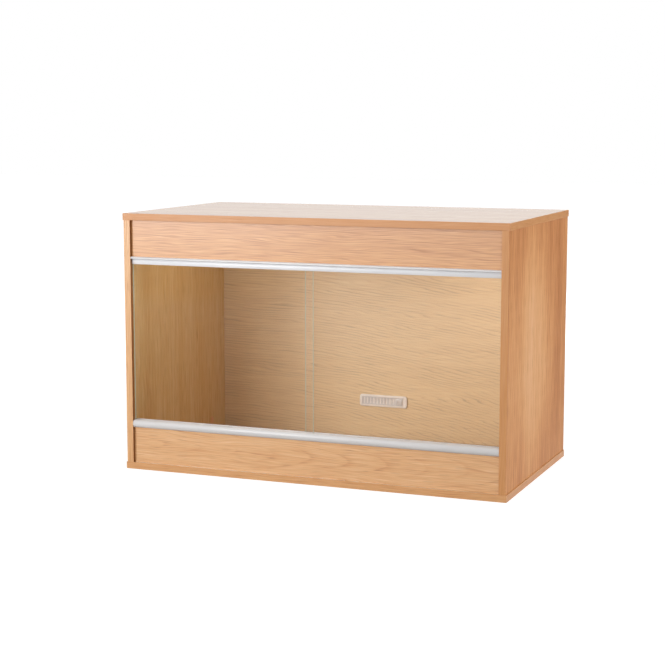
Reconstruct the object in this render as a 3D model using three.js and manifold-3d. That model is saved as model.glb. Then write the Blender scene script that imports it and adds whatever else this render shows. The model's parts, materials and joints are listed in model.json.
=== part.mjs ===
// Terrarium cabinet: an oak-faced board box with two sliding glass doors.
// Units are millimetres. X runs along the width, -Y is the front, Z is up.
// The origin is at the middle of the footprint, on the underside of the base.

import * as THREE from 'three';
import { mergeVertices } from 'three/addons/utils/BufferGeometryUtils.js';
import Module from 'manifold-3d';

// Overall sizes
const WIDTH = 862;
const DEPTH = 480;
const HEIGHT = 560;
const BOARD = 15;
const EDGING = 1;
const EDGING_ARRIS = 0.4;
const OVERHANG = 2;

// Front: fascias and the door opening
const FASCIA_SETBACK = 7;
const UPPER_FASCIA_HEIGHT = 80;
const LOWER_FASCIA_HEIGHT = 85;

// Back panel, let into grooves all round
const BACK_THICKNESS = 6;
const BACK_SETBACK = 10;
const GROOVE_DEPTH = 6.5;
const GROOVE_CLEARANCE = 0.3;
const GROOVE_END_GAP = 0.5;

// Door runners: two channels, a rounded nose and a barbed tongue in a saw kerf
const CHANNEL_WIDTH = 4.8;
const CHANNEL_WALL = 1.5;
const MIDDLE_WALL = 1.4;
const WEB = 2;
const UPPER_CHANNEL_DEPTH = 12;
const LOWER_CHANNEL_DEPTH = 7;
const NOSE_GAP = 0.3;
const KERF_WIDTH = 3;
const KERF_DEPTH = 9;
const TONGUE_LENGTH = 8;
const TONGUE_STEM = 1.6;
const TONGUE_BARB = 0.4;
const BARB_COUNT = 3;
const LIP_ABOVE_EDGE = 1.8;
const LIP_BELOW_EDGE = 4;
const LIP_GROOVE_HEIGHT = 1.3;
const LIP_GROOVE_DEPTH = 0.8;
const SKIRT_BOW = 1.8;
const SKIRT_DROP = 1;
const SKIRT_ROUND = 0.4;
const NOSE_DROP = 8;
const RUNNER_CURVE_STEPS = 24;

// Glass doors
const GLASS = 4;
const GLASS_ARRIS = 0.4;
const GLASS_CORNER = 2;
const DOOR_WIDTH = 422;
const DOOR_HEIGHT = 353;
const DOOR_CLEARANCE = 0.3;
const LEFT_DOOR_GAP = 0.5;
const RIGHT_DOOR_GAP = 4;

// Joints of the boards
const CAM_RADIUS = 7.5;
const CAM_LENGTH = 12;
const CAM_SIDES = 20;
const CAM_SETBACK = 24;
const CAM_SLOT = 7.4;
const CAM_SLOT_FLOOR = 1.2;
const CAM_CROSS_WIDTH = 1.8;
const CAM_CROSS_LENGTH = 9;
const CAM_CROSS_DEPTH = 1.4;
const BOLT_BORE_RADIUS = 3.9;
const BOLT_BORE_SIDES = 10;
const BOLT_SIDES = 8;
const THREAD_RADIUS = 2.6;
const THREAD_TIP_RADIUS = 1.6;
const THREAD_TIP_LENGTH = 1.5;
const THREAD_LENGTH = 11;
const COLLAR_RADIUS = 3.6;
const COLLAR_LENGTH = 14;
const NECK_RADIUS = 2.2;
const HEAD_RADIUS = 3.3;
const HEAD_LENGTH = 4;
const HEAD_PAST_CAM_AXIS = 0.5;
const DOWEL_RADIUS = 4;
const DOWEL_LENGTH = 30;
const DOWEL_SIDES = 10;
const DOWEL_CHAMFER = 0.8;
const DOWEL_SHORT_END = 9;
const FIT = 0.3;
const SIDE_CAM_Y = 150;
const FASTENER_PITCH = 32;
const FASCIA_DOWEL_INSET = 22;

// Vents in the back panel
const VENT_WIDTH = 118;
const VENT_HEIGHT = 28;
const VENT_CORNER = 6;
const VENT_RIM = 6;
const VENT_RIM_ROUND = 0.8;
const VENT_RISE = 3.2;
const VENT_FIELD = 1.2;
const VENT_LIP = 0.8;
const VENT_LIP_THICKNESS = 0.6;
const VENT_RIM_LONG = 4;
const SLEEVE_WIDTH = 107.4;
const SLEEVE_HEIGHT = 19.4;
const SLEEVE_WALL = 1.2;
const SLEEVE_CORNER = 1;
const SLEEVE_CLEARANCE = 0.6;
const GRILLE_THICKNESS = 2;
const GRILLE_PLUG = 4;
const SLOT_WIDTH = 3.8;
const SLOT_HEIGHT = 14;
const SLOT_PITCH = 8;
const FIRST_SLOT = -44;
const FRAME_SLOTS = 10;
const GRILLE_SLOTS = 12;
const SHUTTER_LENGTH = 101;
const SHUTTER_HEIGHT = 19.2;
const SHUTTER_THICKNESS = 0.8;
const SHUTTER_TRAVEL = 4;
const SHUTTER_PAD_CENTRE = 40;
const SHUTTER_PAD = 14;
const PAD_RISE = 1.2;
const PAD_RIB_RISE = 0.6;
const PAD_RIB_WIDTH = 1.4;
const PAD_RIB_PITCH = 4.2;
const PAD_RIB_INSET = 1;
const LOWER_VENT_Z = 101;
const UPPER_VENT_Z = 500;

// How far a cutting tool reaches past a face, and how deep two solids lap before they are joined
const OVERCUT = 1;
const LAP = 0.2;

// Places worked out from the sizes
const FRONT = -DEPTH / 2;
const REAR = DEPTH / 2;
const SIDE_OUTER = WIDTH / 2 - OVERHANG;
const SIDE_INNER = SIDE_OUTER - BOARD;
const SIDE_MIDDLE = SIDE_OUTER - BOARD / 2;
const INSIDE_BOTTOM = BOARD;
const INSIDE_TOP = HEIGHT - BOARD;
const INSIDE_HEIGHT = INSIDE_TOP - INSIDE_BOTTOM;
const BOARD_FRONT = FRONT + EDGING;
const BACK_INNER = REAR - BACK_SETBACK - BACK_THICKNESS;
const FASCIA_MIDDLE_Y = FRONT + FASCIA_SETBACK + BOARD / 2;
const UPPER_EDGE_Z = INSIDE_TOP - UPPER_FASCIA_HEIGHT;
const LOWER_EDGE_Z = INSIDE_BOTTOM + LOWER_FASCIA_HEIGHT;
const DOOR_BOTTOM = LOWER_EDGE_Z + WEB + DOOR_CLEARANCE;

const X = new THREE.Vector3(1, 0, 0);
const Y = new THREE.Vector3(0, 1, 0);
const Z = new THREE.Vector3(0, 0, 1);

const wasm = await Module();
wasm.setup();

// Solid tools

// Keeps positions only, joins equal corners and drops triangles that closed up on an axis.
function weld(geometry) {
  const bare = geometry.clone();
  bare.deleteAttribute('normal');
  bare.deleteAttribute('uv');
  const merged = mergeVertices(bare);
  const corners = [];
  const index = merged.index.array;
  for (let i = 0; i < index.length; i += 3) {
    const [a, b, c] = [index[i], index[i + 1], index[i + 2]];
    if (a !== b && b !== c && c !== a) corners.push(a, b, c);
  }
  merged.setIndex(corners);
  return merged;
}

function toSolid(geometry) {
  const welded = weld(geometry);
  const vertProperties = Float32Array.from(welded.attributes.position.array);
  const triVerts = Uint32Array.from(welded.index.array);
  return new wasm.Manifold(new wasm.Mesh({ numProp: 3, vertProperties, triVerts }));
}

function toGeometry(solid) {
  const mesh = solid.getMesh();
  const geometry = new THREE.BufferGeometry();
  geometry.setAttribute('position', new THREE.BufferAttribute(mesh.vertProperties, 3));
  geometry.setIndex(new THREE.BufferAttribute(mesh.triVerts, 1));
  return geometry;
}

function carve(stock, tools) {
  let solid = toSolid(stock);
  for (const tool of tools) solid = solid.subtract(toSolid(tool));
  return toGeometry(solid);
}

function fuse(parts) {
  let solid = toSolid(parts[0]);
  for (const part of parts.slice(1)) solid = solid.add(toSolid(part));
  return toGeometry(solid);
}

// A turn that takes local Y to one direction and local Z to another.
function turn(toY, toZ) {
  const toX = new THREE.Vector3().crossVectors(toY, toZ);
  return new THREE.Matrix4().makeBasis(toX, toY, toZ);
}

function brick(x0, x1, y0, y1, z0, z1) {
  const geometry = new THREE.BoxGeometry(x1 - x0, y1 - y0, z1 - z0);
  return geometry.translate((x0 + x1) / 2, (y0 + y1) / 2, (z0 + z1) / 2);
}

// A direction square to one that runs along X, Y or Z.
function across(direction) {
  return direction.x === 0 ? X : Z;
}

// A cylinder from one point along a direction.
function pin(radius, from, direction, length, sides) {
  const geometry = new THREE.CylinderGeometry(radius, radius, length, sides);
  geometry.translate(0, length / 2, 0);
  geometry.applyMatrix4(turn(direction, across(direction)));
  return geometry.translate(from.x, from.y, from.z);
}

function roundedOutline(width, height, radius) {
  const w = width / 2;
  const h = height / 2;
  const shape = new THREE.Shape();
  shape.moveTo(-w + radius, -h);
  shape.lineTo(w - radius, -h);
  shape.absarc(w - radius, -h + radius, radius, -Math.PI / 2, 0);
  shape.lineTo(w, h - radius);
  shape.absarc(w - radius, h - radius, radius, 0, Math.PI / 2);
  shape.lineTo(-w + radius, h);
  shape.absarc(-w + radius, h - radius, radius, Math.PI / 2, Math.PI);
  shape.lineTo(-w, -h + radius);
  shape.absarc(-w + radius, -h + radius, radius, Math.PI, Math.PI * 1.5);
  return shape;
}

// Scene graph

const cabinet = new THREE.Group();

function place(name, geometry, material, position, parent = cabinet) {
  const mesh = new THREE.Mesh(geometry, material);
  mesh.name = name;
  mesh.position.copy(position);
  parent.add(mesh);
  return mesh;
}

// Materials

function oakBoard() {
  return new THREE.MeshStandardMaterial({ color: 0xdcae82, roughness: 0.55, metalness: 0 });
}

function oakEdging() {
  return new THREE.MeshStandardMaterial({ color: 0xd69f69, roughness: 0.5, metalness: 0 });
}

function greyRunnerPlastic() {
  return new THREE.MeshStandardMaterial({ color: 0xd8d7d9, roughness: 0.35, metalness: 0 });
}

function clearGlass() {
  return new THREE.MeshStandardMaterial({
    color: 0xdcebe4, roughness: 0.03, metalness: 0, transparent: true, opacity: 0.3,
  });
}

function whiteVentPlastic() {
  return new THREE.MeshStandardMaterial({ color: 0xd8cfcb, roughness: 0.45, metalness: 0 });
}

function zincAlloy() {
  return new THREE.MeshStandardMaterial({ color: 0xb4b6b8, roughness: 0.45, metalness: 1 });
}

function platedSteel() {
  return new THREE.MeshStandardMaterial({ color: 0xc9c6bd, roughness: 0.35, metalness: 1 });
}

function beech() {
  return new THREE.MeshStandardMaterial({ color: 0xdcbc8e, roughness: 0.7, metalness: 0 });
}

// Board joints. Each joint has a point on the plane where two boards meet and the direction
// into the board that is bored from its end; a cam joint also has that board's cam face.

const camJoints = [];
const dowelJoints = [];

function addSideJoints(side, sideName) {
  const bored = `${sideName}_side_panel`;
  const face = X.clone().multiplyScalar(-side);
  const ends = [
    { endName: 'top', faced: 'top_panel', z: INSIDE_TOP, into: Z.clone().negate() },
    { endName: 'base', faced: 'base_panel', z: INSIDE_BOTTOM, into: Z.clone() },
  ];
  for (const { endName, faced, z, into } of ends) {
    for (const [row, rowName] of [[-1, 'front'], [1, 'rear']]) {
      const name = `${sideName}_${endName}_${rowName}`;
      const camPoint = new THREE.Vector3(side * SIDE_MIDDLE, row * SIDE_CAM_Y, z);
      const dowelPoint = camPoint.clone().setY(row * (SIDE_CAM_Y + FASTENER_PITCH));
      camJoints.push({ name, bored, faced, into, face, point: camPoint });
      dowelJoints.push({ name, bored, faced, into, point: dowelPoint });
    }
  }
}

function addFasciaJoints(side, sideName) {
  const faced = `${sideName}_side_panel`;
  const into = X.clone().multiplyScalar(-side);
  const fascias = [
    { bored: 'upper_fascia', outerZ: INSIDE_TOP - FASCIA_DOWEL_INSET, step: -FASTENER_PITCH },
    { bored: 'lower_fascia', outerZ: INSIDE_BOTTOM + FASCIA_DOWEL_INSET, step: FASTENER_PITCH },
  ];
  for (const { bored, outerZ, step } of fascias) {
    for (const [i, rowName] of [[0, 'outer'], [1, 'inner']]) {
      const name = `${bored}_${sideName}_${rowName}`;
      const point = new THREE.Vector3(side * SIDE_INNER, FASCIA_MIDDLE_Y, outerZ + i * step);
      dowelJoints.push({ name, bored, faced, into, point });
    }
  }
}

for (const [side, sideName] of [[-1, 'left'], [1, 'right']]) {
  addSideJoints(side, sideName);
  addFasciaJoints(side, sideName);
}

function along(joint, distance) {
  return joint.point.clone().addScaledVector(joint.into, distance);
}

// A drilling of given depth from a mouth on a board's face, started outside the board.
function drilling(radius, mouth, direction, depth, sides) {
  const start = mouth.clone().addScaledVector(direction, -OVERCUT);
  return pin(radius + FIT, start, direction, OVERCUT + depth + FIT, sides);
}

// The holes that one board needs for all of its joints.
function jointHoles(board) {
  const holes = [];
  for (const joint of camJoints) {
    const outward = joint.into.clone().negate();
    if (joint.bored === board) {
      const rim = along(joint, CAM_SETBACK).addScaledVector(joint.face, BOARD / 2);
      const inward = joint.face.clone().negate();
      holes.push(drilling(CAM_RADIUS, rim, inward, CAM_LENGTH, CAM_SIDES));
      holes.push(drilling(BOLT_BORE_RADIUS, joint.point, joint.into, CAM_SETBACK, BOLT_BORE_SIDES));
    }
    if (joint.faced === board) {
      holes.push(drilling(THREAD_RADIUS, joint.point, outward, THREAD_LENGTH, BOLT_SIDES));
    }
  }
  for (const joint of dowelJoints) {
    const outward = joint.into.clone().negate();
    if (joint.bored === board) {
      const depth = DOWEL_LENGTH - DOWEL_SHORT_END;
      holes.push(drilling(DOWEL_RADIUS, joint.point, joint.into, depth, DOWEL_SIDES));
    }
    if (joint.faced === board) {
      holes.push(drilling(DOWEL_RADIUS, joint.point, outward, DOWEL_SHORT_END, DOWEL_SIDES));
    }
  }
  return holes;
}

// A board of given size, cut by tools that are given in the cabinet's own frame.
function board(name, x0, x1, y0, y1, z0, z1, tools) {
  const centre = new THREE.Vector3((x0 + x1) / 2, (y0 + y1) / 2, (z0 + z1) / 2);
  const stock = new THREE.BoxGeometry(x1 - x0, y1 - y0, z1 - z0);
  const local = tools.map((tool) => tool.translate(-centre.x, -centre.y, -centre.z));
  place(name, carve(stock, local), oakBoard(), centre);
}

const grooveFront = BACK_INNER - GROOVE_CLEARANCE;
const grooveRear = BACK_INNER + BACK_THICKNESS + GROOVE_CLEARANCE;
const grooveHalfWidth = SIDE_INNER + GROOVE_DEPTH;

// Top and base: full footprint, grooved for the back panel on their inner faces.

function topPanel() {
  const end = WIDTH / 2 - EDGING;
  const groove = brick(-grooveHalfWidth, grooveHalfWidth, grooveFront, grooveRear,
    INSIDE_TOP - OVERCUT, INSIDE_TOP + GROOVE_DEPTH);
  const tools = [groove, ...jointHoles('top_panel')];
  board('top_panel', -end, end, BOARD_FRONT, REAR, INSIDE_TOP, HEIGHT, tools);
}

function basePanel() {
  const end = WIDTH / 2 - EDGING;
  const groove = brick(-grooveHalfWidth, grooveHalfWidth, grooveFront, grooveRear,
    INSIDE_BOTTOM - GROOVE_DEPTH, INSIDE_BOTTOM + OVERCUT);
  const tools = [groove, ...jointHoles('base_panel')];
  board('base_panel', -end, end, BOARD_FRONT, REAR, 0, INSIDE_BOTTOM, tools);
}

// Side panels stand between top and base, a little inside their ends.

function sidePanel(side, name) {
  const inner = side * SIDE_INNER;
  const outer = side * SIDE_OUTER;
  const grooveFloor = side * grooveHalfWidth;
  const grooveMouth = inner - side * OVERCUT;
  const groove = brick(Math.min(grooveFloor, grooveMouth), Math.max(grooveFloor, grooveMouth),
    grooveFront, grooveRear, INSIDE_BOTTOM - OVERCUT, INSIDE_TOP + OVERCUT);
  const tools = [groove, ...jointHoles(name)];
  board(name, Math.min(inner, outer), Math.max(inner, outer), BOARD_FRONT, REAR,
    INSIDE_BOTTOM, INSIDE_TOP, tools);
}

topPanel();
basePanel();
sidePanel(-1, 'left_side_panel');
sidePanel(1, 'right_side_panel');

// Edging strips glued on the edges that show, with their long corners eased.

function edgingStrip(name, length, outward, lengthwise, position) {
  const half = BOARD / 2;
  const shape = new THREE.Shape();
  shape.moveTo(-half, 0);
  shape.lineTo(half, 0);
  shape.lineTo(half, EDGING - EDGING_ARRIS);
  shape.lineTo(half - EDGING_ARRIS, EDGING);
  shape.lineTo(-half + EDGING_ARRIS, EDGING);
  shape.lineTo(-half, EDGING - EDGING_ARRIS);
  const geometry = new THREE.ExtrudeGeometry(shape, { depth: length, bevelEnabled: false });
  geometry.translate(0, 0, -length / 2);
  const strip = place(name, weld(geometry), oakEdging(), position);
  strip.quaternion.setFromRotationMatrix(turn(outward, lengthwise));
}

function boardEdging(prefix, z) {
  const end = WIDTH / 2 - EDGING;
  const back = Y.clone().negate();
  edgingStrip(`${prefix}_front_edging`, WIDTH, back, X, new THREE.Vector3(0, BOARD_FRONT, z));
  const sideLength = REAR - BOARD_FRONT;
  const middle = (REAR + BOARD_FRONT) / 2;
  const left = new THREE.Vector3(-end, middle, z);
  const right = new THREE.Vector3(end, middle, z);
  edgingStrip(`${prefix}_left_edging`, sideLength, X.clone().negate(), Y, left);
  edgingStrip(`${prefix}_right_edging`, sideLength, X, Y, right);
}

boardEdging('top', HEIGHT - BOARD / 2);
boardEdging('base', BOARD / 2);
for (const [side, name] of [[-1, 'left_side_edging'], [1, 'right_side_edging']]) {
  const middle = new THREE.Vector3(side * SIDE_MIDDLE, BOARD_FRONT, HEIGHT / 2);
  edgingStrip(name, INSIDE_HEIGHT, Y.clone().negate(), Z, middle);
}

// Fascias between the sides, each sawn with a kerf for its runner's tongue.

function fascia(name, z0, z1, kerfZ0, kerfZ1) {
  const kerf = brick(-SIDE_INNER - OVERCUT, SIDE_INNER + OVERCUT,
    FASCIA_MIDDLE_Y - KERF_WIDTH / 2, FASCIA_MIDDLE_Y + KERF_WIDTH / 2, kerfZ0, kerfZ1);
  const front = FRONT + FASCIA_SETBACK;
  const tools = [kerf, ...jointHoles(name)];
  board(name, -SIDE_INNER, SIDE_INNER, front, front + BOARD, z0, z1, tools);
}

fascia('upper_fascia', UPPER_EDGE_Z, INSIDE_TOP, UPPER_EDGE_Z - OVERCUT, UPPER_EDGE_Z + KERF_DEPTH);
fascia('lower_fascia', INSIDE_BOTTOM, LOWER_EDGE_Z, LOWER_EDGE_Z - KERF_DEPTH, LOWER_EDGE_Z + OVERCUT);

// Runner section: depth behind the front plane runs to the right, height runs up,
// and height 0 is the fascia edge that the runner sits on.

const runnerRear = FASCIA_SETBACK + BOARD;
const rearChannelRear = runnerRear - CHANNEL_WALL;
const rearChannelFront = rearChannelRear - CHANNEL_WIDTH;
const frontChannelRear = rearChannelFront - MIDDLE_WALL;
const frontChannelFront = frontChannelRear - CHANNEL_WIDTH;
const skirtFront = frontChannelFront - CHANNEL_WALL;
const noseBack = FASCIA_SETBACK - NOSE_GAP;
const tongueDepth = FASCIA_SETBACK + BOARD / 2;

// The barbed tongue, drawn from the section's rear side to its front side.
function drawTongue(shape, up) {
  const stem = TONGUE_STEM / 2;
  const barbPitch = TONGUE_LENGTH / (BARB_COUNT + 0.5);
  const barbFoot = (i) => up * (barbPitch * (i + 0.5));
  const barbTop = (i) => up * (barbPitch * (i + 1.25));
  shape.lineTo(tongueDepth + stem, 0);
  for (let i = 0; i < BARB_COUNT; i += 1) {
    shape.lineTo(tongueDepth + stem, barbFoot(i));
    shape.lineTo(tongueDepth + stem + TONGUE_BARB, barbFoot(i));
    shape.lineTo(tongueDepth + stem, barbTop(i));
  }
  shape.lineTo(tongueDepth + stem, up * TONGUE_LENGTH);
  shape.lineTo(tongueDepth - stem, up * TONGUE_LENGTH);
  for (let i = BARB_COUNT - 1; i >= 0; i -= 1) {
    shape.lineTo(tongueDepth - stem, barbTop(i));
    shape.lineTo(tongueDepth - stem - TONGUE_BARB, barbFoot(i));
    shape.lineTo(tongueDepth - stem, barbFoot(i));
  }
  shape.lineTo(tongueDepth - stem, 0);
}

// The two channels, drawn from front to rear; walls end at one height, floors at another.
function drawChannels(shape, floor, wallEnd) {
  shape.lineTo(frontChannelFront, floor);
  shape.lineTo(frontChannelRear, floor);
  shape.lineTo(frontChannelRear, wallEnd);
  shape.lineTo(rearChannelFront, wallEnd);
  shape.lineTo(rearChannelFront, floor);
  shape.lineTo(rearChannelRear, floor);
  shape.lineTo(rearChannelRear, wallEnd);
  shape.lineTo(runnerRear, wallEnd);
}

// Upper section: a small half-round lip over a bowed skirt, with deep channels hanging down.
function upperRunnerSection() {
  const wallEnd = -(WEB + UPPER_CHANNEL_DEPTH);
  const lipCentre = (LIP_ABOVE_EDGE - LIP_BELOW_EDGE) / 2;
  const lipHalf = (LIP_ABOVE_EDGE + LIP_BELOW_EDGE) / 2;
  const skirtTop = -LIP_BELOW_EDGE - LIP_GROOVE_HEIGHT;
  const skirtEnd = wallEnd - SKIRT_DROP;
  const skirtFoot = skirtEnd + SKIRT_ROUND;
  const shape = new THREE.Shape();
  shape.moveTo(runnerRear, 0);
  drawTongue(shape, 1);
  shape.lineTo(noseBack, 0);
  shape.lineTo(noseBack, LIP_ABOVE_EDGE);
  shape.absellipse(noseBack, lipCentre, noseBack, lipHalf, Math.PI / 2, Math.PI * 1.5, false);
  shape.lineTo(skirtFront + LIP_GROOVE_DEPTH, -LIP_BELOW_EDGE);
  shape.lineTo(skirtFront + LIP_GROOVE_DEPTH, skirtTop);
  shape.lineTo(skirtFront, skirtTop);
  shape.quadraticCurveTo(skirtFront - SKIRT_BOW, (skirtTop + skirtEnd) / 2, skirtFront, skirtFoot);
  shape.quadraticCurveTo(skirtFront + CHANNEL_WALL / 2, skirtEnd - SKIRT_ROUND,
    frontChannelFront, skirtFoot);
  drawChannels(shape, -WEB, wallEnd);
  return shape;
}

// Lower section: a hollow half-round nose in front of shallow channels that stand up.
function lowerRunnerSection() {
  const wallEnd = WEB + LOWER_CHANNEL_DEPTH;
  const noseCentre = (wallEnd - NOSE_DROP) / 2;
  const noseHalf = (wallEnd + NOSE_DROP) / 2;
  const shape = new THREE.Shape();
  shape.moveTo(runnerRear, 0);
  drawTongue(shape, -1);
  shape.lineTo(noseBack, 0);
  shape.lineTo(noseBack, -NOSE_DROP);
  shape.absellipse(noseBack, noseCentre, noseBack, noseHalf, Math.PI * 1.5, Math.PI / 2, true);
  shape.lineTo(frontChannelFront, wallEnd);
  drawChannels(shape, WEB, wallEnd);
  const hollow = new THREE.Path();
  const hollowBack = noseBack - CHANNEL_WALL;
  const hollowHalf = noseHalf - CHANNEL_WALL;
  hollow.moveTo(hollowBack, noseCentre + hollowHalf);
  hollow.absellipse(hollowBack, noseCentre, hollowBack - CHANNEL_WALL, hollowHalf,
    Math.PI / 2, Math.PI * 1.5, false);
  shape.holes.push(hollow);
  return shape;
}

function runner(name, section, edgeZ) {
  const length = 2 * (SIDE_INNER - DOOR_CLEARANCE);
  const geometry = new THREE.ExtrudeGeometry(section, {
    depth: length, bevelEnabled: false, curveSegments: RUNNER_CURVE_STEPS,
  });
  geometry.translate(0, 0, -length / 2);
  const mesh = place(name, weld(geometry), greyRunnerPlastic(), new THREE.Vector3(0, FRONT, edgeZ));
  mesh.quaternion.setFromRotationMatrix(turn(Z, X));
}

runner('upper_door_runner', upperRunnerSection(), UPPER_EDGE_Z);
runner('lower_door_runner', lowerRunnerSection(), LOWER_EDGE_Z);

// Glass doors: plain sheets with ground edges, the left one in the front channel.
// They are short enough to lift into the upper channel and swing out over the lower one.

function glassDoor(name, x0, channelFront) {
  const outline = roundedOutline(DOOR_WIDTH - 2 * GLASS_ARRIS, DOOR_HEIGHT - 2 * GLASS_ARRIS, GLASS_CORNER);
  const geometry = new THREE.ExtrudeGeometry(outline, {
    depth: GLASS - 2 * GLASS_ARRIS,
    bevelThickness: GLASS_ARRIS,
    bevelSize: GLASS_ARRIS,
    bevelSegments: 1,
    curveSegments: 3,
  });
  geometry.translate(0, 0, -GLASS / 2 + GLASS_ARRIS);
  const y = FRONT + channelFront + CHANNEL_WIDTH / 2;
  const centre = new THREE.Vector3(x0 + DOOR_WIDTH / 2, y, DOOR_BOTTOM + DOOR_HEIGHT / 2);
  const door = place(name, weld(geometry), clearGlass(), centre);
  door.rotation.x = Math.PI / 2;
}

glassDoor('left_glass_door', -SIDE_INNER + LEFT_DOOR_GAP, frontChannelFront);
glassDoor('right_glass_door', SIDE_INNER - RIGHT_DOOR_GAP - DOOR_WIDTH, rearChannelFront);

// Back panel: thin board let into the grooves, cut out for the two vents.

function backPanel() {
  const halfWidth = grooveHalfWidth - GROOVE_END_GAP;
  const low = INSIDE_BOTTOM - GROOVE_DEPTH + GROOVE_END_GAP;
  const high = INSIDE_TOP + GROOVE_DEPTH - GROOVE_END_GAP;
  const centre = new THREE.Vector3(0, BACK_INNER + BACK_THICKNESS / 2, HEIGHT / 2);
  const stock = new THREE.BoxGeometry(2 * halfWidth, BACK_THICKNESS, high - low);
  const holeWidth = SLEEVE_WIDTH + 2 * SLEEVE_CLEARANCE;
  const holeHeight = SLEEVE_HEIGHT + 2 * SLEEVE_CLEARANCE;
  const holes = [LOWER_VENT_Z, UPPER_VENT_Z].map((z) => {
    const hole = new THREE.BoxGeometry(holeWidth, BACK_THICKNESS + 2 * OVERCUT, holeHeight);
    return hole.translate(0, 0, z - centre.z);
  });
  place('back_panel', carve(stock, holes), oakBoard(), centre);
}

backPanel();

// Vents. Inside a vent's group X runs along the vent, Y is up and Z points into the cabinet,
// with Z = 0 at the frame's rear face, just clear of the back panel.

function slab(outline, z0, z1) {
  const geometry = new THREE.ExtrudeGeometry(outline, {
    depth: z1 - z0, bevelEnabled: false, curveSegments: 4,
  });
  return geometry.translate(0, 0, z0);
}

function slots(count, z0, z1, shift = 0) {
  const cutters = [];
  for (let i = 0; i < count; i += 1) {
    const x = FIRST_SLOT + shift + i * SLOT_PITCH;
    cutters.push(brick(x - SLOT_WIDTH / 2, x + SLOT_WIDTH / 2, -SLOT_HEIGHT / 2, SLOT_HEIGHT / 2, z0, z1));
  }
  return cutters;
}

// An outer flange with a rounded front edge, standing on Z = 0.
function flange(rise, inner) {
  const outline = roundedOutline(VENT_WIDTH - 2 * VENT_RIM_ROUND, VENT_HEIGHT - 2 * VENT_RIM_ROUND,
    VENT_CORNER - VENT_RIM_ROUND);
  const geometry = new THREE.ExtrudeGeometry(outline, {
    depth: rise,
    bevelThickness: VENT_RIM_ROUND,
    bevelSize: VENT_RIM_ROUND,
    bevelSegments: 2,
    curveSegments: 4,
  });
  geometry.translate(0, 0, -VENT_RIM_ROUND);
  const below = brick(-VENT_WIDTH, VENT_WIDTH, -VENT_HEIGHT, VENT_HEIGHT, -2 * VENT_RIM_ROUND, 0);
  return carve(geometry, [below, ...inner]);
}

// Frame: rim, slotted field, lips that hold the shutter, and a sleeve through the panel.
function ventFrame(parent, name) {
  const recessWidth = VENT_WIDTH - 2 * VENT_RIM;
  const recessHeight = VENT_HEIGHT - 2 * VENT_RIM_LONG;
  const lipZ = VENT_RISE - VENT_LIP_THICKNESS;
  const recess = brick(-recessWidth / 2, recessWidth / 2, -recessHeight / 2, recessHeight / 2,
    VENT_FIELD, lipZ);
  const mouthHeight = recessHeight - 2 * VENT_LIP;
  const mouth = brick(-recessWidth / 2, recessWidth / 2, -mouthHeight / 2, mouthHeight / 2,
    lipZ - LAP, VENT_RISE + OVERCUT);
  const rim = flange(VENT_RISE, [recess, mouth]);
  const tube = roundedOutline(SLEEVE_WIDTH, SLEEVE_HEIGHT, SLEEVE_CORNER);
  const bore = brick(-SLEEVE_WIDTH / 2 + SLEEVE_WALL, SLEEVE_WIDTH / 2 - SLEEVE_WALL,
    -SLEEVE_HEIGHT / 2 + SLEEVE_WALL, SLEEVE_HEIGHT / 2 - SLEEVE_WALL, -BACK_THICKNESS - OVERCUT, 0);
  const sleeve = carve(slab(tube, -BACK_THICKNESS, LAP), [bore]);
  const slotted = carve(fuse([rim, sleeve]), slots(FRAME_SLOTS, -OVERCUT, VENT_FIELD + LAP));
  place(name, slotted, whiteVentPlastic(), new THREE.Vector3(), parent);
}

// Shutter: a slotted strip under the lips, with a ribbed thumb pad at one end. It is shown closed, its
// bars over the frame's slots, and opens by its travel towards the pad.
function ventShutter(parent, name) {
  const z0 = VENT_FIELD + FIT;
  const z1 = z0 + SHUTTER_THICKNESS;
  const x0 = -(VENT_WIDTH / 2 - VENT_RIM) + FIT;
  const strip = brick(x0, x0 + SHUTTER_LENGTH, -SHUTTER_HEIGHT / 2, SHUTTER_HEIGHT / 2, z0, z1);
  const slotted = carve(strip, slots(FRAME_SLOTS, z0 - OVERCUT, z1 + OVERCUT, -SHUTTER_TRAVEL));
  const half = SHUTTER_PAD / 2;
  const padTop = z1 + PAD_RISE;
  const pad = brick(SHUTTER_PAD_CENTRE - half, SHUTTER_PAD_CENTRE + half, -half, half, z1 - LAP, padTop);
  const ribs = [-1, 0, 1].map((i) => {
    const x = SHUTTER_PAD_CENTRE + i * PAD_RIB_PITCH;
    return brick(x - PAD_RIB_WIDTH / 2, x + PAD_RIB_WIDTH / 2, -half + PAD_RIB_INSET, half - PAD_RIB_INSET,
      padTop - LAP, padTop + PAD_RIB_RISE);
  });
  place(name, fuse([slotted, pad, ...ribs]), whiteVentPlastic(), new THREE.Vector3(), parent);
}

// Rear grille: a slotted flange outside the panel, plugged into the frame's sleeve.
function ventRearGrille(parent, name) {
  const plugWidth = SLEEVE_WIDTH - 2 * SLEEVE_WALL - 2 * FIT;
  const plugHeight = SLEEVE_HEIGHT - 2 * SLEEVE_WALL - 2 * FIT;
  const face = flange(GRILLE_THICKNESS, slots(GRILLE_SLOTS, -OVERCUT, GRILLE_THICKNESS + OVERCUT));
  const ring = slab(roundedOutline(plugWidth, plugHeight, SLEEVE_CORNER - FIT), -GRILLE_PLUG, LAP);
  const bore = brick(-plugWidth / 2 + SLEEVE_WALL, plugWidth / 2 - SLEEVE_WALL,
    -plugHeight / 2 + SLEEVE_WALL, plugHeight / 2 - SLEEVE_WALL, -GRILLE_PLUG - OVERCUT, OVERCUT);
  const plug = carve(ring, [bore]);
  const outerFace = new THREE.Vector3(0, 0, -BACK_THICKNESS - 2 * FIT);
  const mesh = place(name, fuse([face, plug]), whiteVentPlastic(), outerFace, parent);
  mesh.rotation.y = Math.PI;
}

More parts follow.
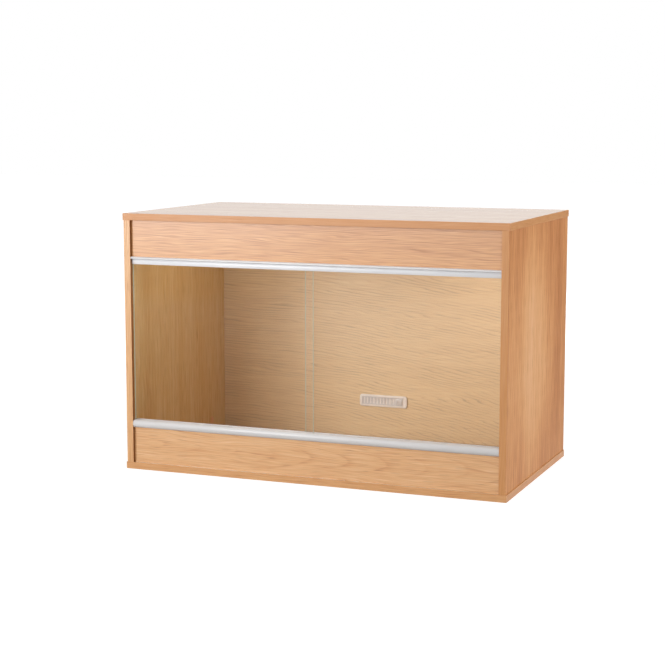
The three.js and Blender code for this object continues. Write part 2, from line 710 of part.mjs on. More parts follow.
for (const [prefix, z] of [['lower_vent', LOWER_VENT_Z], ['upper_vent', UPPER_VENT_Z]]) {
  const vent = new THREE.Group();
  vent.position.set(0, BACK_INNER - FIT, z);
  vent.rotation.x = Math.PI / 2;
  cabinet.add(vent);
  ventFrame(vent, `${prefix}_frame`);
  ventShutter(vent, `${prefix}_shutter`);
  ventRearGrille(vent, `${prefix}_rear_grille`);
}

// Fasteners

// Cam lock: a zinc barrel, open on the bolt's side, with a cross recess in its face.
function camLock() {
  const barrel = new THREE.CylinderGeometry(CAM_RADIUS, CAM_RADIUS, CAM_LENGTH, CAM_SIDES);
  barrel.translate(0, -CAM_LENGTH / 2, 0);
  const half = CAM_SLOT / 2;
  const boltY = -BOARD / 2;
  const slot = brick(-half, half, boltY - half, boltY + half, -CAM_SLOT_FLOOR, CAM_RADIUS + OVERCUT);
  const wide = CAM_CROSS_LENGTH / 2;
  const narrow = CAM_CROSS_WIDTH / 2;
  const cross = [
    brick(-wide, wide, -CAM_CROSS_DEPTH, OVERCUT, -narrow, narrow),
    brick(-narrow, narrow, -CAM_CROSS_DEPTH, OVERCUT, -wide, wide),
  ];
  return carve(barrel, [slot, ...cross]);
}

function turned(profile, sides) {
  const points = profile.map(([radius, height]) => new THREE.Vector2(radius, height));
  return weld(new THREE.LatheGeometry(points, sides));
}

// Cam bolt: thread, guide collar, neck and head, along local Y from the boards' meeting plane.
function camBolt() {
  const headTop = CAM_SETBACK + HEAD_PAST_CAM_AXIS;
  const headBase = headTop - HEAD_LENGTH;
  return turned([
    [0, -THREAD_LENGTH], [THREAD_TIP_RADIUS, -THREAD_LENGTH],
    [THREAD_RADIUS, -THREAD_LENGTH + THREAD_TIP_LENGTH], [THREAD_RADIUS, FIT],
    [COLLAR_RADIUS, FIT], [COLLAR_RADIUS, COLLAR_LENGTH], [NECK_RADIUS, COLLAR_LENGTH],
    [NECK_RADIUS, headBase], [HEAD_RADIUS, headBase], [HEAD_RADIUS, headTop], [0, headTop],
  ], BOLT_SIDES);
}

function dowel() {
  const half = DOWEL_LENGTH / 2;
  const tip = DOWEL_RADIUS - DOWEL_CHAMFER;
  return turned([
    [0, -half], [tip, -half], [DOWEL_RADIUS, -half + DOWEL_CHAMFER],
    [DOWEL_RADIUS, half - DOWEL_CHAMFER], [tip, half], [0, half],
  ], DOWEL_SIDES);
}

for (const joint of camJoints) {
  const towardsBolt = joint.into.clone().negate();
  const seat = along(joint, CAM_SETBACK).addScaledVector(joint.face, BOARD / 2);
  const lock = place(`${joint.name}_cam_lock`, camLock(), zincAlloy(), seat);
  lock.quaternion.setFromRotationMatrix(turn(joint.face, towardsBolt));
  const bolt = place(`${joint.name}_cam_bolt`, camBolt(), platedSteel(), joint.point);
  bolt.quaternion.setFromRotationMatrix(turn(joint.into, joint.face));
}

for (const joint of dowelJoints) {
  const middle = along(joint, DOWEL_LENGTH / 2 - DOWEL_SHORT_END);
  const peg = place(`${joint.name}_dowel`, dowel(), beech(), middle);
  peg.quaternion.setFromRotationMatrix(turn(joint.into, across(joint.into)));
}

export default cabinet;
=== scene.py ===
"""Terrarium cabinet: oak-faced boards, two sliding glass doors in plastic runners and two vents.

Units are metres. X runs along the width, -Y is the front and Z is up.
"""

import json
import math

import bmesh
import bpy
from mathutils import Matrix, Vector

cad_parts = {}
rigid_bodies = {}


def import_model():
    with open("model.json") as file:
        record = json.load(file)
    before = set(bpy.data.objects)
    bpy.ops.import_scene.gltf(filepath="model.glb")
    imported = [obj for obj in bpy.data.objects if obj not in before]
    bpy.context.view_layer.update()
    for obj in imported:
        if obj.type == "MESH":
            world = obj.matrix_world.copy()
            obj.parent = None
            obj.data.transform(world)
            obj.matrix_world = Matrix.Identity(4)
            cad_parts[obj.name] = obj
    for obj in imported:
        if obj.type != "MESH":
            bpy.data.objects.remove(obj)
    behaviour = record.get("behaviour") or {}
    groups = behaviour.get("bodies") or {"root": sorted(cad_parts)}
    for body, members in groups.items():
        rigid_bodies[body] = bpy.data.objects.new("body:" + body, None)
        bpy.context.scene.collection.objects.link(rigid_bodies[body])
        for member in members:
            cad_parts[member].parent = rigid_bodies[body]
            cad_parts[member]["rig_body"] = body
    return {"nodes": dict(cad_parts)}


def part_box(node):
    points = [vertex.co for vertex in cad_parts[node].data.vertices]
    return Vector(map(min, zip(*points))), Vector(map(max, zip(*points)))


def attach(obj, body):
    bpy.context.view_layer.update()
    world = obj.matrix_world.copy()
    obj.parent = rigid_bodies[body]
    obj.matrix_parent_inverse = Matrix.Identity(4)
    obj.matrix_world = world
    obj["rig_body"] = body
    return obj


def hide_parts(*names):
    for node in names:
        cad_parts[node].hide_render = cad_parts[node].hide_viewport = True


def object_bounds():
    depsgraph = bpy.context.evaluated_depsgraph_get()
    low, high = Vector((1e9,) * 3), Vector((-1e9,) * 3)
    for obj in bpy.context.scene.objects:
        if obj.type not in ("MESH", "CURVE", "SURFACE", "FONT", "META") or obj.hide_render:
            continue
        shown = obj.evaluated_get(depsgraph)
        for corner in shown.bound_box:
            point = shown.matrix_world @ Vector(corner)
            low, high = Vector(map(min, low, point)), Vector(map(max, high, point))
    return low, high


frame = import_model()
cad_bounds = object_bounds()

# Oak-faced boards
# The carcase is 15 mm chipboard, faced on both sides with a printed oak foil under clear melamine.
# The print shows slow-grown oak: rings in long arches, open pores as short dark dashes, broad bands
# of colour. Sawn edges that carry no strip, such as the rear ones, show the bare chips.

MM = 0.001

# For each board: the axes of its grain and its thickness, the side that looks into the cabinet, where
# its print was cut from the roll, and its figure and finish as oak_print and board_finish take them.
PANELS = {
    "top_panel": {
        "grain": 0, "thickness": 2, "inside": -1, "shift": (0, 0),
        "arch": -90, "slope": 0.05, "pitch": 9,
    },
    "base_panel": {
        "grain": 0, "thickness": 2, "inside": 1, "shift": (900, 300),
        "arch": 60, "slope": 0.04, "pitch": 9,
    },
    "left_side_panel": {
        "grain": 2, "thickness": 0, "inside": 1, "shift": (2100, 0),
        # Its print is set paler than the right panel's, as painted light on the inner wall of the
        # cabinet.
        "arch": -330, "slope": 0.03, "pitch": 13, "rings": 0.6, "streak": 1.4, "depth": -0.18,
        # The last setting is the width of the strip of inner face that gets painted shade.
        "satin": 0.48, "overlay": 0.15, "gloss": 0.3, "shaded_margin": 8 * MM,
    },
    "right_side_panel": {
        "grain": 2, "thickness": 0, "inside": -1, "shift": (3300, 700),
        "arch": 390, "slope": 0.02, "pitch": 15, "rings": 0.6, "streak": 1.3, "depth": 0.24,
        # The last setting is the width of the strip of inner face that gets painted shade.
        "satin": 0.5, "overlay": 0.0, "gloss": 0.2, "shaded_margin": 8 * MM,
        "pale_patch": (265, -50, 340, 235), "tint": "#FFF8F8",
    },
    "upper_fascia": {
        "grain": 0, "thickness": 1, "inside": 1, "shift": (4700, 100),
        "arch": 452, "slope": 0.06, "pitch": 7, "rings": 0.6, "streak": 0.35, "fibre": 0.8,
        "pores": 0.28, "depth": 0.21,
    },
    "lower_fascia": {
        "grain": 0, "thickness": 1, "inside": 1, "shift": (5600, 200),
        "arch": 58, "slope": 0.07, "pitch": 6, "rings": 0.8, "streak": 0.8, "fibre": 1.4,
        "depth": -0.08,
    },
}


def srgb(code):
    """The linear colour of an sRGB hex code."""
    parts = [int(code[i : i + 2], 16) / 255 for i in (1, 3, 5)]
    return tuple(c / 12.92 if c <= 0.04045 else ((c + 0.055) / 1.055) ** 2.4 for c in parts) + (1.0,)


def add(tree, kind, inputs=None, **settings):
    """Adds a node to a tree with its settings, and links or sets its inputs."""
    node = tree.nodes.new(kind)
    for name, value in settings.items():
        setattr(node, name, value)
    for key, value in (inputs or {}).items():
        if isinstance(value, bpy.types.NodeSocket):
            tree.links.new(value, node.inputs[key])
        else:
            node.inputs[key].default_value = value
    return node


def new_finish(name):
    """An empty material and its node tree."""
    material = bpy.data.materials.new(name)
    material.use_nodes = True
    material.node_tree.nodes.clear()
    return material, material.node_tree


def ramp(tree, factor, stops):
    """Colours along a factor, given as places and sRGB codes."""
    node = add(tree, "ShaderNodeValToRGB", {"Fac": factor})
    elements = node.color_ramp.elements
    while len(elements) < len(stops):
        elements.new(0.5)
    for element, (place, code) in zip(elements, stops):
        element.position = place
        element.color = srgb(code)
    return node.outputs["Color"]


def streaks(tree, place, length, width, detail=2.0):
    """Noise drawn out along the grain, with blotches of that length and width in millimetres."""
    per_blotch = (1 / length, 1 / width, 1 / width)
    squeezed = add(tree, "ShaderNodeVectorMath", {0: place, 1: per_blotch}, operation="MULTIPLY")
    noise = add(tree, "ShaderNodeTexNoise", {
        "Vector": squeezed.outputs[0], "Scale": 1.0, "Detail": detail,
    })
    return noise.outputs["Fac"]


def grain_place(tree, grain, thickness, shift):
    """Object coordinates in millimetres as (along the grain, across it, through the board)."""
    across = 3 - grain - thickness
    at = add(tree, "ShaderNodeTexCoord")
    split = add(tree, "ShaderNodeSeparateXYZ", {0: at.outputs["Object"]})
    turned = add(tree, "ShaderNodeCombineXYZ", {
        0: split.outputs[grain], 1: split.outputs[across], 2: split.outputs[thickness],
    })
    place = add(tree, "ShaderNodeMapping", {
        "Vector": turned.outputs[0], "Location": (*shift, 0), "Scale": (1000, 1000, 1000),
    })
    return place.outputs[0]


def oak_print(tree, place, shift, arch, slope, pitch, rings=1.0, streak=1.0, fibre=1.0, pores=0.5,
              depth=0.0, satin=0.33, pale_patch=None):
    """Colour, roughness and height of the printed oak, with all lengths in millimetres.

    Rings are cut as in a board sawn off a tapered trunk: arch is where the middle of the arches lies
    across the board, slope is how fast the cut leaves the pith, and pitch is the ring spacing. Rings,
    streak, fibre and pores are how strongly each of them shows, and depth is how dark the board is.
    A pale patch is given by its middle along and across the grain and its reach both ways. Pores and
    fibres are drawn about five times as wide as real ones, so that they show.
    """
    # The pattern changes fast through the board, so that its two faces don't show the same print.
    flat = add(tree, "ShaderNodeVectorMath", {0: place, 1: (1, 1, 6)}, operation="MULTIPLY").outputs[0]
    split = add(tree, "ShaderNodeSeparateXYZ", {0: flat})
    along, across, through = split.outputs[0], split.outputs[1], split.outputs[2]

    bends = (
        (streaks(tree, flat, 260, 42), 26.0),
        (streaks(tree, flat, 180, 14), 8.0),
    )
    mean_bend = sum(reach for _, reach in bends) / 2
    bent = across
    for bend, reach in bends:
        bent = add(tree, "ShaderNodeMath", {
            0: bend, 1: reach, 2: bent,
        }, operation="MULTIPLY_ADD").outputs[0]

    left_end, pith_gap = -430, 12
    from_arch = add(tree, "ShaderNodeMath", {
        0: bent, 1: arch + shift[1] + mean_bend,
    }, operation="SUBTRACT").outputs[0]
    from_pith = add(tree, "ShaderNodeMath", {
        0: along, 1: slope, 2: pith_gap - slope * (shift[0] + left_end),
    }, operation="MULTIPLY_ADD").outputs[0]
    radial = add(tree, "ShaderNodeCombineXYZ", {0: from_arch, 1: from_pith, 2: 0.0}).outputs[0]
    radius = add(tree, "ShaderNodeVectorMath", {0: radial}, operation="LENGTH").outputs["Value"]
    turns = add(tree, "ShaderNodeMath", {0: radius, 1: pitch}, operation="DIVIDE").outputs[0]
    ring = add(tree, "ShaderNodeMath", {0: turns}, operation="FRACT").outputs[0]
    early = ramp(tree, ring, (
        (0.0, "#333333"), (0.08, "#FFFFFF"), (0.3, "#777777"), (0.65, "#1C1C1C"), (1.0, "#333333"),
    ))
    patch = add(tree, "ShaderNodeMapRange", {
        0: streaks(tree, flat, 170, 24), 1: 0.35, 2: 0.65, 3: 0.15, 4: 1.0,
    }).outputs[0]
    early = add(tree, "ShaderNodeMath", {0: early, 1: patch}, operation="MULTIPLY").outputs[0]

    with_rings = add(tree, "ShaderNodeCombineXYZ", {0: along, 1: bent, 2: through}).outputs[0]
    fine_fibres = streaks(tree, with_rings, 150, 2.4, 2.0)
    layers = (
        (streaks(tree, flat, 1500, 60), 0.5 * streak),
        (streaks(tree, with_rings, 420, 9, 3.0), 0.32 * streak),
        (fine_fibres, 0.42 * fibre),
        (streaks(tree, with_rings, 70, 1.2, 1.0), 1.0),
    )
    tone = 0.5 + depth - sum(weight for _, weight in layers) / 2 - 0.06 * rings
    if pale_patch:
        paler_by = 0.44
        middle = (pale_patch[0] + shift[0], pale_patch[1] + shift[1], 0)
        reach = (1 / pale_patch[2], 1 / pale_patch[3], 0)
        aside = add(tree, "ShaderNodeVectorMath", {0: flat, 1: middle}, operation="SUBTRACT").outputs[0]
        aside = add(tree, "ShaderNodeVectorMath", {0: aside, 1: reach}, operation="MULTIPLY").outputs[0]
        aside = add(tree, "ShaderNodeVectorMath", {0: aside}, operation="LENGTH").outputs["Value"]
        tone = add(tree, "ShaderNodeMapRange", {
            0: aside, 1: 0.2, 2: 1.0, 3: tone - paler_by, 4: tone,
        }, interpolation_type="SMOOTHSTEP").outputs[0]
    for layer, weight in (*layers, (early, 0.28 * rings)):
        tone = add(tree, "ShaderNodeMath", {
            0: layer, 1: weight, 2: tone,
        }, operation="MULTIPLY_ADD").outputs[0]
    wood = ramp(tree, tone, ((0.0, "#ECC193"), (0.35, "#E0AC75"), (0.62, "#D2965D"), (1.0, "#AC6B37")))

    dashes = streaks(tree, with_rings, 35, 1.2, 0.0)
    open_pore = add(tree, "ShaderNodeMapRange", {
        0: dashes, 1: 0.56, 2: 0.68, 3: 0.0, 4: 1.0,
    }).outputs[0]
    in_early = add(tree, "ShaderNodeMath", {
        0: early, 1: 0.7, 2: 0.3,
    }, operation="MULTIPLY_ADD").outputs[0]
    pore = add(tree, "ShaderNodeMath", {0: open_pore, 1: in_early}, operation="MULTIPLY").outputs[0]
    pore_share = add(tree, "ShaderNodeMath", {0: pore, 1: pores}, operation="MULTIPLY").outputs[0]
    colour = add(tree, "ShaderNodeMix", {
        0: pore_share, 6: wood, 7: srgb("#85552E"),
    }, data_type="RGBA").outputs[2]
    rough = add(tree, "ShaderNodeMath", {
        0: pore, 1: 0.2, 2: satin,
    }, operation="MULTIPLY_ADD").outputs[0]
    height = add(tree, "ShaderNodeMath", {
        0: pore, 1: -1.0, 2: fine_fibres,
    }, operation="MULTIPLY_ADD").outputs[0]
    return colour, rough, height


def bare_chipboard(tree, place):
    """Colour and height of sawn chipboard: flat chips about 3 by 3 by 1 mm, with dark gaps."""
    chips_per_mm = (0.33, 0.33, 0.9)
    per_chip = add(tree, "ShaderNodeVectorMath", {
        0: place, 1: chips_per_mm,
    }, operation="MULTIPLY").outputs[0]
    chips = add(tree, "ShaderNodeTexVoronoi", {"Vector": per_chip, "Scale": 1.0})
    from_middle = chips.outputs["Distance"]
    shade = add(tree, "ShaderNodeSeparateColor", {0: chips.outputs["Color"]}).outputs[0]
    colour = ramp(tree, shade, (
        (0.0, "#9C744A"), (0.3, "#C09763"), (0.75, "#D6B184"), (1.0, "#E4C9A2"),
    ))
    gap = add(tree, "ShaderNodeMapRange", {
        0: from_middle, 1: 0.45, 2: 0.8, 3: 0.0, 4: 0.8,
    }).outputs[0]
    dark = add(tree, "ShaderNodeMix", {
        0: gap, 6: colour, 7: srgb("#6E4E2F"),
    }, data_type="RGBA").outputs[2]
    return dark, from_middle


def on_faces(tree, node_name, thickness):
    """1 on the two broad faces of a board and 0 on its sawn edges and in its holes."""
    low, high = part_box(node_name)
    middle = (low[thickness] + high[thickness]) / 2
    half = (high[thickness] - low[thickness]) / 2
    at = add(tree, "ShaderNodeTexCoord")
    axis = add(tree, "ShaderNodeSeparateXYZ", {0: at.outputs["Object"]}).outputs[thickness]
    offset = add(tree, "ShaderNodeMath", {0: axis, 1: middle}, operation="SUBTRACT").outputs[0]
    distance = add(tree, "ShaderNodeMath", {0: offset}, operation="ABSOLUTE").outputs[0]
    near = add(tree, "ShaderNodeMath", {
        0: distance, 1: half - 0.1 * MM,
    }, operation="GREATER_THAN").outputs[0]
    facing = add(tree, "ShaderNodeSeparateXYZ", {0: at.outputs["Normal"]}).outputs[thickness]
    square = add(tree, "ShaderNodeMath", {0: facing}, operation="ABSOLUTE").outputs[0]
    level = add(tree, "ShaderNodeMath", {0: square, 1: 0.5}, operation="GREATER_THAN").outputs[0]
    return add(tree, "ShaderNodeMath", {0: near, 1: level}, operation="MULTIPLY").outputs[0]


def on_inner_half(tree, node_name, thickness, inside):
    """1 on the half of a board that looks into the cabinet, which lies on the given side of it."""
    low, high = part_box(node_name)
    middle = (low[thickness] + high[thickness]) / 2
    at = add(tree, "ShaderNodeTexCoord")
    axis = add(tree, "ShaderNodeSeparateXYZ", {0: at.outputs["Object"]}).outputs[thickness]
    offset = add(tree, "ShaderNodeMath", {0: axis, 1: middle}, operation="SUBTRACT").outputs[0]
    inward = add(tree, "ShaderNodeMath", {0: offset, 1: float(inside)}, operation="MULTIPLY").outputs[0]
    return add(tree, "ShaderNodeMath", {0: inward, 1: 0.0}, operation="GREATER_THAN").outputs[0]


def on_front_margin(tree, node_name, width):
    """1 on the strip of that width behind the front edge of a board, and 0 behind it."""
    at = add(tree, "ShaderNodeTexCoord")
    axis = add(tree, "ShaderNodeSeparateXYZ", {0: at.outputs["Object"]}).outputs[1]
    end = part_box(node_name)[0].y + width
    return add(tree, "ShaderNodeMath", {0: axis, 1: end}, operation="LESS_THAN").outputs[0]


def board_finish(node_name, grain, thickness, inside, shift, overlay=0.8, gloss=0.5, shaded_margin=0.0,
                 tint="#FFFFFF", **figure):
    """Melamine-faced oak print on the broad faces, a little yellower on the one that looks inside, and
    sawn chipboard everywhere else. Shade is painted on a strip of the inner face behind the front edge,
    in the recess before the fascias."""
    material, tree = new_finish(f"oak_melamine_{node_name}")
    place = grain_place(tree, grain, thickness, shift)
    oak, oak_rough, oak_height = oak_print(tree, place, shift, **figure)
    chips, chip_height = bare_chipboard(tree, place)
    faced = on_faces(tree, node_name, thickness)
    inner = on_inner_half(tree, node_name, thickness, inside)
    cast = add(tree, "ShaderNodeMix", {
        0: inner, 6: srgb(tint), 7: srgb("#EDFFF2"),
    }, data_type="RGBA").outputs[2]
    oak = add(tree, "ShaderNodeMix", {
        0: 1.0, 6: oak, 7: cast,
    }, data_type="RGBA", blend_type="MULTIPLY").outputs[2]
    # Painted shade: the inner face's strip behind the front edge is darkened, as the recess before the
    # fascias lies in shade.
    if shaded_margin:
        in_front = on_front_margin(tree, node_name, shaded_margin)
        painted_shade = add(tree, "ShaderNodeMath", {0: in_front, 1: inner}, operation="MULTIPLY").outputs[0]
        oak = add(tree, "ShaderNodeMix", {
            0: painted_shade, 6: oak, 7: srgb("#B98F78"),
        }, data_type="RGBA", blend_type="MULTIPLY").outputs[2]
    colour = add(tree, "ShaderNodeMix", {0: faced, 6: chips, 7: oak}, data_type="RGBA").outputs[2]
    rough = add(tree, "ShaderNodeMix", {0: faced, 2: 0.85, 3: oak_rough}).outputs[0]
    height = add(tree, "ShaderNodeMix", {0: faced, 2: chip_height, 3: oak_height}).outputs[0]
    relief = add(tree, "ShaderNodeMix", {0: faced, 2: 0.3 * MM, 3: 0.04 * MM}).outputs[0]
    coat = add(tree, "ShaderNodeMath", {0: faced, 1: overlay}, operation="MULTIPLY").outputs[0]
    bump = add(tree, "ShaderNodeBump", {"Strength": 0.6, "Distance": relief, "Height": height})
    surface = add(tree, "ShaderNodeBsdfPrincipled", {
        "Base Color": colour, "Roughness": rough, "Normal": bump.outputs[0], "IOR": 1.5,
        "Specular IOR Level": gloss, "Coat Weight": coat, "Coat Roughness": 0.2,
    })
    add(tree, "ShaderNodeOutputMaterial", {0: surface.outputs[0]})
    return material


def dress(node_name, material):
    """Gives a CAD node its finish."""
    for material_slot in frame["nodes"][node_name].material_slots:
        material_slot.material = material


for node_name, figure in PANELS.items():
    dress(node_name, board_finish(node_name, **figure))

# Back panel
# A 6 mm board let into grooves. Its inner face carries a paler oak print with bolder rings, and its
# rear face is bare hardboard, brown and finely felted.


def back_panel_finish():
    material, tree = new_finish("oak_faced_hardboard")
    shift = (7300, 0)
    place = grain_place(tree, 0, 1, shift)
    oak, oak_rough, oak_height = oak_print(
        tree, place, shift, arch=-400, slope=0.42, pitch=6.5, rings=3.4,
    )
    felt = streaks(tree, place, 1.4, 1.1, 4.0)
    board = ramp(tree, felt, ((0.3, "#8E6A45"), (0.5, "#A98256"), (0.7, "#BE9869")))
    inner_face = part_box("back_panel")[0].y
    at = add(tree, "ShaderNodeTexCoord")
    depth = add(tree, "ShaderNodeSeparateXYZ", {0: at.outputs["Object"]}).outputs[1]
    behind = add(tree, "ShaderNodeMath", {
        0: depth, 1: inner_face + 0.1 * MM,
    }, operation="GREATER_THAN").outputs[0]
    paler = add(tree, "ShaderNodeMix", {
        0: 0.45, 6: oak, 7: srgb("#DEE1C2"),
    }, data_type="RGBA").outputs[2]
    colour = add(tree, "ShaderNodeMix", {0: behind, 6: paler, 7: board}, data_type="RGBA").outputs[2]
    rough = add(tree, "ShaderNodeMix", {0: behind, 2: oak_rough, 3: 0.8}).outputs[0]
    height = add(tree, "ShaderNodeMix", {0: behind, 2: oak_height, 3: felt}).outputs[0]
    bump = add(tree, "ShaderNodeBump", {"Strength": 0.5, "Distance": 0.05 * MM, "Height": height})
    surface = add(tree, "ShaderNodeBsdfPrincipled", {
        "Base Color": colour, "Roughness": rough, "Normal": bump.outputs[0], "IOR": 1.5,
    })
    add(tree, "ShaderNodeOutputMaterial", {0: surface.outputs[0]})
    return material


dress("back_panel", back_panel_finish())

# Edging
# 1 mm strips in a slightly darker oak print, glued on every edge that shows, with eased corners.
# Each strip comes off its own roll, so the strips differ a little in depth of colour and in gloss;
# besides, those on the right are painted darker and the left side one paler, as painted shade and light.

STRIPS = {
    "top_front_edging": {"grain": 0, "thickness": 1, "depth_and_shade": 0.72, "overlay": 0.1},
    "top_left_edging": {"grain": 1, "thickness": 0, "depth_and_shade": 0.45, "overlay": 0.2},
    "top_right_edging": {"grain": 1, "thickness": 0, "depth_and_shade": 0.6, "overlay": 0.0, "gloss": 0.2},
    "base_front_edging": {"grain": 0, "thickness": 1, "depth_and_shade": 0.2, "overlay": 0.3},
    "base_left_edging": {"grain": 1, "thickness": 0, "depth_and_shade": 0.45, "overlay": 0.2},
    "base_right_edging": {"grain": 1, "thickness": 0, "depth_and_shade": 0.6, "overlay": 0.0, "gloss": 0.2},
    "left_side_edging": {"grain": 2, "thickness": 1, "depth_and_shade": 0.04, "overlay": 0.4},
    "right_side_edging": {"grain": 2, "thickness": 1, "depth_and_shade": 0.6, "overlay": 0.0},
}


def edging_finish(node_name, grain, thickness, depth_and_shade, overlay, gloss=0.5):
    material, tree = new_finish(f"oak_melamine_{node_name}")
    shift = (9100 + 700 * grain, 40)
    place = grain_place(tree, grain, thickness, shift)
    oak, oak_rough, oak_height = oak_print(tree, place, shift, arch=300, slope=0.01, pitch=5, rings=0.5)
    # Painted shade and light: the strips on the right are mixed further towards the deep colour, the left
    # side strip much less.
    toned = add(tree, "ShaderNodeMix", {
        0: depth_and_shade, 6: oak, 7: srgb("#C27E40"),
    }, data_type="RGBA").outputs[2]
    bump = add(tree, "ShaderNodeBump", {"Strength": 0.5, "Distance": 0.03 * MM, "Height": oak_height})
    surface = add(tree, "ShaderNodeBsdfPrincipled", {
        "Base Color": toned, "Roughness": oak_rough, "Normal": bump.outputs[0], "IOR": 1.5,
        "Specular IOR Level": gloss, "Coat Weight": overlay, "Coat Roughness": 0.25,
    })
    add(tree, "ShaderNodeOutputMaterial", {0: surface.outputs[0]})
    return material


for node_name, strip in STRIPS.items():
    dress(node_name, edging_finish(node_name, **strip))

# Door runners
# Extruded PVC in pale grey, pushed on to the fascias by a barbed tongue. The die leaves faint
# lines along the length, and the surface has a soft gloss. The upper one is painted paler, as
# painted light, and the lower one greyer, as painted shade.


def softened(node_name, radius, finish):
    """A copy of a CAD node with its sharp corners rounded by that radius and its curves smooth."""
    source = frame["nodes"][node_name]
    work = bmesh.new()
    work.from_mesh(source.data)
    bmesh.ops.remove_doubles(work, verts=work.verts, dist=1e-6)
    flat_enough = math.radians(0.5)
    bmesh.ops.dissolve_limit(work, angle_limit=flat_enough, verts=work.verts, edges=work.edges)
    mesh = bpy.data.meshes.new(f"{node_name}_moulded")
    work.to_mesh(mesh)
    work.free()
    piece = bpy.data.objects.new(f"{node_name}_moulded", mesh)
    bpy.context.scene.collection.objects.link(piece)
    bevel = piece.modifiers.new("rounding", "BEVEL")
    bevel.width = radius
    bevel.segments = 2
    bevel.limit_method = "ANGLE"
    bevel.angle_limit = math.radians(30)
    bevel.use_clamp_overlap = True
    evaluated = piece.evaluated_get(bpy.context.evaluated_depsgraph_get())
    piece.data = bpy.data.meshes.new_from_object(evaluated)
    piece.modifiers.clear()
    piece.data.materials.clear()
    piece.data.materials.append(finish)
    piece.data.shade_smooth()
    piece.data.set_sharp_from_angle(angle=math.radians(35))
    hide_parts(node_name)
    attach(piece, source["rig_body"])
    return piece


def runner_finish(name, darker, paler):
    material, tree = new_finish(f"extruded_pvc_{name}")
    place = grain_place(tree, 0, 1, (0, 0))
    die_lines = streaks(tree, place, 600, 0.5, 2.0)
    haze = streaks(tree, place, 90, 12, 2.0)
    colour = ramp(tree, haze, ((0.3, darker), (0.7, paler)))
    rough = add(tree, "ShaderNodeMath", {0: haze, 1: 0.1, 2: 0.28}, operation="MULTIPLY_ADD").outputs[0]
    bump = add(tree, "ShaderNodeBump", {"Strength": 0.3, "Distance": 0.02 * MM, "Height": die_lines})
    surface = add(tree, "ShaderNodeBsdfPrincipled", {
        "Base Color": colour, "Roughness": rough, "Normal": bump.outputs[0], "IOR": 1.54,
    })
    add(tree, "ShaderNodeOutputMaterial", {0: surface.outputs[0]})
    return material


# Painted light in the upper runner's colour and painted shade in the lower one's.
upper_pvc_painted_light = runner_finish("off_white", "#E4E4E7", "#EBEBED")
lower_pvc_painted_shade = runner_finish("pale_grey_painted_shade", "#D0CECE", "#D8D6D5")
softened("upper_door_runner", 0.5 * MM, upper_pvc_painted_light)
softened("lower_door_runner", 0.2 * MM, lower_pvc_painted_shade)

# Glass doors
# Two sheets of 4 mm float glass with ground edges. The faces are clear, with a weak reflection. The
# ground edges scatter light and show the green of the glass.


def glass_finish():
    material, tree = new_finish("float_glass_ground_edges")
    at = add(tree, "ShaderNodeTexCoord")
    facing = add(tree, "ShaderNodeSeparateXYZ", {0: at.outputs["Normal"]}).outputs[1]
    square = add(tree, "ShaderNodeMath", {0: facing}, operation="ABSOLUTE").outputs[0]
    edge = add(tree, "ShaderNodeMath", {0: square, 1: 0.9}, operation="LESS_THAN").outputs[0]
    # A lower index than glass keeps the doors' reflections as weak as a clean pane's in soft light.
    fresnel = add(tree, "ShaderNodeFresnel", {"IOR": 1.25}).outputs[0]
    inside = add(tree, "ShaderNodeNewGeometry").outputs["Backfacing"]
    outer = add(tree, "ShaderNodeMath", {0: 1.0, 1: inside}, operation="SUBTRACT").outputs[0]
    mirror = add(tree, "ShaderNodeMath", {0: fresnel, 1: outer}, operation="MULTIPLY").outputs[0]
    cover = add(tree, "ShaderNodeMix", {0: edge, 2: mirror, 3: 0.8}).outputs[0]
    place = grain_place(tree, 2, 1, (0, 0))
    grinding = streaks(tree, place, 3.0, 0.4, 2.0)
    green = ramp(tree, grinding, ((0.3, "#C6DACB"), (0.7, "#EDF4E8")))
    colour = add(tree, "ShaderNodeMix", {
        0: edge, 6: srgb("#FFFFFF"), 7: green,
    }, data_type="RGBA").outputs[2]
    metallic = add(tree, "ShaderNodeMath", {0: 1.0, 1: edge}, operation="SUBTRACT").outputs[0]
    rough = add(tree, "ShaderNodeMix", {0: edge, 2: 0.02, 3: 0.35}).outputs[0]
    surface = add(tree, "ShaderNodeBsdfPrincipled", {
        "Base Color": colour, "Metallic": metallic, "Roughness": rough, "Alpha": cover, "IOR": 1.5,
    })
    add(tree, "ShaderNodeOutputMaterial", {0: surface.outputs[0]})
    return material


float_glass = glass_finish()
for node_name in ("left_glass_door", "right_glass_door"):
    dress(node_name, float_glass)

# Vents
# Moulded off-white plastic: a frame snapped through the back panel to a grille behind it, and a
# slotted shutter that slides under the frame's lips. The mould was spark-eroded to a fine matt. The
# shutters are painted greyer than the frames, as painted shade where they lie back under the lips.


def vent_finish(name, darker, paler):
    material, tree = new_finish(f"moulded_abs_{name}")
    place = grain_place(tree, 0, 1, (0, 0))
    spark = streaks(tree, place, 0.35, 0.35, 2.0)
    flow = streaks(tree, place, 22, 14, 2.0)
    colour = ramp(tree, flow, ((0.3, darker), (0.7, paler)))
    rough = add(tree, "ShaderNodeMath", {
        0: spark, 1: 0.2, 2: 0.36,
    }, operation="MULTIPLY_ADD").outputs[0]
    bump = add(tree, "ShaderNodeBump", {"Strength": 0.4, "Distance": 0.03 * MM, "Height": spark})
    surface = add(tree, "ShaderNodeBsdfPrincipled", {
        "Base Color": colour, "Roughness": rough, "Normal": bump.outputs[0], "IOR": 1.53,
    })
    add(tree, "ShaderNodeOutputMaterial", {0: surface.outputs[0]})
    return material


off_white = vent_finish("off_white", "#E0DBD5", "#E8E3DD")
